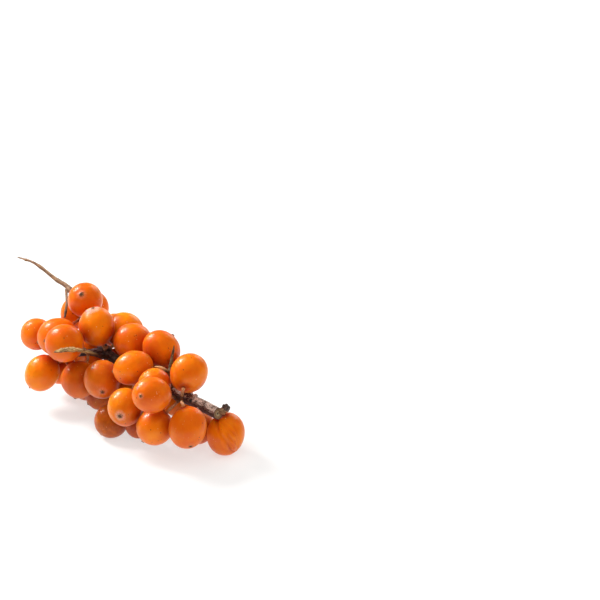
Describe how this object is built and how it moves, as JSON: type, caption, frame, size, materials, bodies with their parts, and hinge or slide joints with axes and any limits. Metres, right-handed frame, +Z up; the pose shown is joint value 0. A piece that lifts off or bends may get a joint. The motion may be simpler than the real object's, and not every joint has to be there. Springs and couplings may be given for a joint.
{
  "type": "sea buckthorn sprig",
  "caption": "Cut sprig of sea buckthorn lying on its side: a thorny woody stem sleeved in oval orange berries, each on its own short stalk.",
  "frame": {"origin": "middle of the sprig's bounding box, on the surface it lies on", "axes": "+Z up from the surface, +X along the sprig towards the cut end of the stem"},
  "size_m": [0.0754, 0.0308, 0.0274],
  "materials": {
    "berry_skin_ripe": "thin waxy berry skin with a soft gloss, fine wrinkles and tiny scales",
    "berry_skin_pale": "thin waxy berry skin, slightly paler, with a soft gloss",
    "berry_skin_deep": "thin waxy berry skin, slightly deeper in colour, with a soft gloss",
    "old_bark": "dark brown ridged bark with a grey bloom",
    "pale_bark": "light tan smooth bark of a thorn",
    "olive_bark": "olive brown bark of a thorn",
    "young_bark": "grey brown bark of a young twig",
    "stalk_skin": "thin tan stalk, slightly downy"
  },
  "bodies": {
    "root": {"main_stem": "old_bark", "left_spur": "old_bark", "left_thorn": "pale_bark", "right_thorn": "olive_bark", "fork_twig": "young_bark", "stalks_01": "stalk_skin", "stalks_02": "stalk_skin", "stalks_03": "stalk_skin", "stalks_04": "stalk_skin", "stalks_05": "stalk_skin", "stalks_06": "stalk_skin", "stalks_07": "stalk_skin", "stalks_08": "stalk_skin", "stalks_09": "stalk_skin", "stalks_10": "stalk_skin", "stalks_11": "stalk_skin", "stalks_12": "stalk_skin", "stalks_13": "stalk_skin", "stalks_14": "stalk_skin", "stalks_15": "stalk_skin", "stalks_16": "stalk_skin", "stalks_17": "stalk_skin", "berry_01": "berry_skin_ripe", "berry_02": "berry_skin_deep", "berry_03": "berry_skin_pale", "berry_04": "berry_skin_ripe", "berry_05": "berry_skin_deep", "berry_06": "berry_skin_pale", "berry_07": "berry_skin_ripe", "berry_08": "berry_skin_deep", "berry_09": "berry_skin_pale", "berry_10": "berry_skin_ripe", "berry_11": "berry_skin_deep", "berry_12": "berry_skin_pale", "berry_13": "berry_skin_ripe", "berry_14": "berry_skin_deep", "berry_15": "berry_skin_pale", "berry_16": "berry_skin_ripe", "berry_17": "berry_skin_deep", "berry_18": "berry_skin_pale", "berry_19": "berry_skin_ripe", "berry_20": "berry_skin_deep", "berry_21": "berry_skin_pale", "berry_22": "berry_skin_ripe", "berry_23": "berry_skin_deep", "berry_24": "berry_skin_pale", "berry_25": "berry_skin_ripe", "berry_26": "berry_skin_deep", "berry_27": "berry_skin_pale", "berry_28": "berry_skin_ripe", "berry_29": "berry_skin_deep", "berry_30": "berry_skin_pale", "berry_31": "berry_skin_ripe", "berry_32": "berry_skin_deep", "berry_33": "berry_skin_pale", "berry_34": "berry_skin_ripe", "berry_35": "berry_skin_deep", "berry_36": "berry_skin_pale", "berry_37": "berry_skin_ripe", "berry_38": "berry_skin_deep"}
  },
  "joints": []
}
